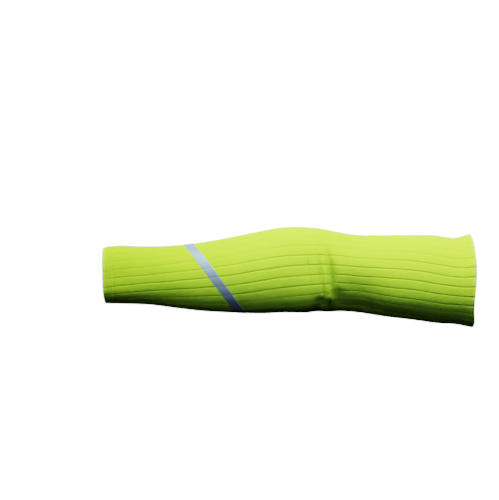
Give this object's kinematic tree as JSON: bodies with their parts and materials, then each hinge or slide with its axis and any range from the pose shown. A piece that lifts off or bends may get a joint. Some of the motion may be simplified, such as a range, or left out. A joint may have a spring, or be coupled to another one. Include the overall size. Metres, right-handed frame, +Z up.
{
  "type": "cycling arm sleeve",
  "caption": "Ribbed knit arm sleeve in the form it takes on a slightly bent arm, open at both ends, with a turned welt at each end and a slanted reflective stripe round the forearm.",
  "frame": {"origin": "on the arm's axis at the elbow crease", "axes": "+X along the arm from the wrist to the upper arm, -Y out of the side that shows in the picture, +Z up"},
  "size_m": [0.3969, 0.1045, 0.108],
  "materials": {
    "knit": "fluorescent yellow wide-rib knit, matte",
    "welt": "fluorescent yellow doubled knit, matte",
    "reflective": "silver-grey glass-bead reflective film"
  },
  "bodies": {
    "root": {"ribbed_tube": "knit", "wrist_welt": "welt", "upper_welt": "welt", "reflective_stripe": "reflective"}
  },
  "joints": []
}
